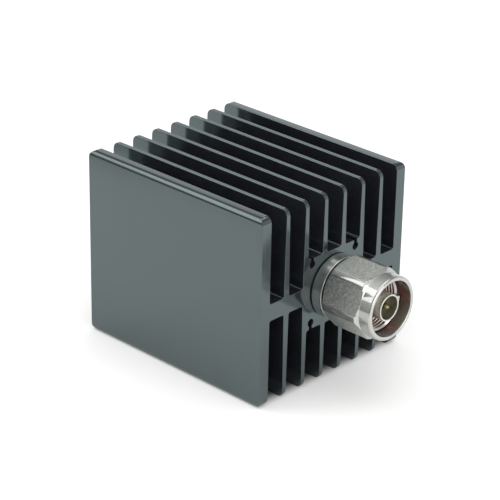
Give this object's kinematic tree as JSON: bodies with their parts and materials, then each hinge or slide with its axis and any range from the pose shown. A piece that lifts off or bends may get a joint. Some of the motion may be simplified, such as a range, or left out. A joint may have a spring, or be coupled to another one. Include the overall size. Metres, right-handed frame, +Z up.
{
  "type": "coaxial attenuator",
  "caption": "Finned black heatsink with a coaxial attenuator in its bore, a threaded plug with a hexagonal coupling nut at one end and a jack at the other.",
  "frame": {"origin": "bottom centre of the whole part, on the plane it stands on", "axes": "+X along the coaxial axis towards the plug, +Y across the fins, +Z up"},
  "size_m": [0.1084, 0.06, 0.0585],
  "materials": {
    "anodised_aluminium": "black anodised, satin to glossy",
    "plated_brass": "bright white bronze plate",
    "gold_contact": "gold plated",
    "steel": "turned stainless",
    "milled_aluminium": "milled, bare",
    "ptfe": "turned white fluoropolymer",
    "silicone": "moulded red silicone",
    "ceramic": "white alumina ceramic"
  },
  "bodies": {
    "attenuator_body": {"heatsink_body": "anodised_aluminium", "male_body": "plated_brass", "male_outer_contact": "plated_brass", "male_insulator": "ptfe", "male_centre_pin": "gold_contact", "male_gasket": "silicone", "nut_retaining_ring": "steel", "female_body": "plated_brass", "female_insulator": "ptfe", "female_centre_socket": "gold_contact", "carrier_base": "milled_aluminium", "carrier_cap": "milled_aluminium", "carrier_screw_1": "steel", "carrier_screw_2": "steel", "carrier_screw_3": "steel", "carrier_screw_4": "steel", "attenuator_substrate": "ceramic", "input_tab": "gold_contact", "output_tab": "gold_contact"},
    "coupling_nut": {"coupling_nut": "plated_brass"}
  },
  "joints": [
    {"name": "nut_spin", "type": "hinge", "parent": "attenuator_body", "child": "coupling_nut", "pos_m": [0.04545, 0, 0.02925], "axis": [1, 0, 0], "continuous": true}
  ]
}
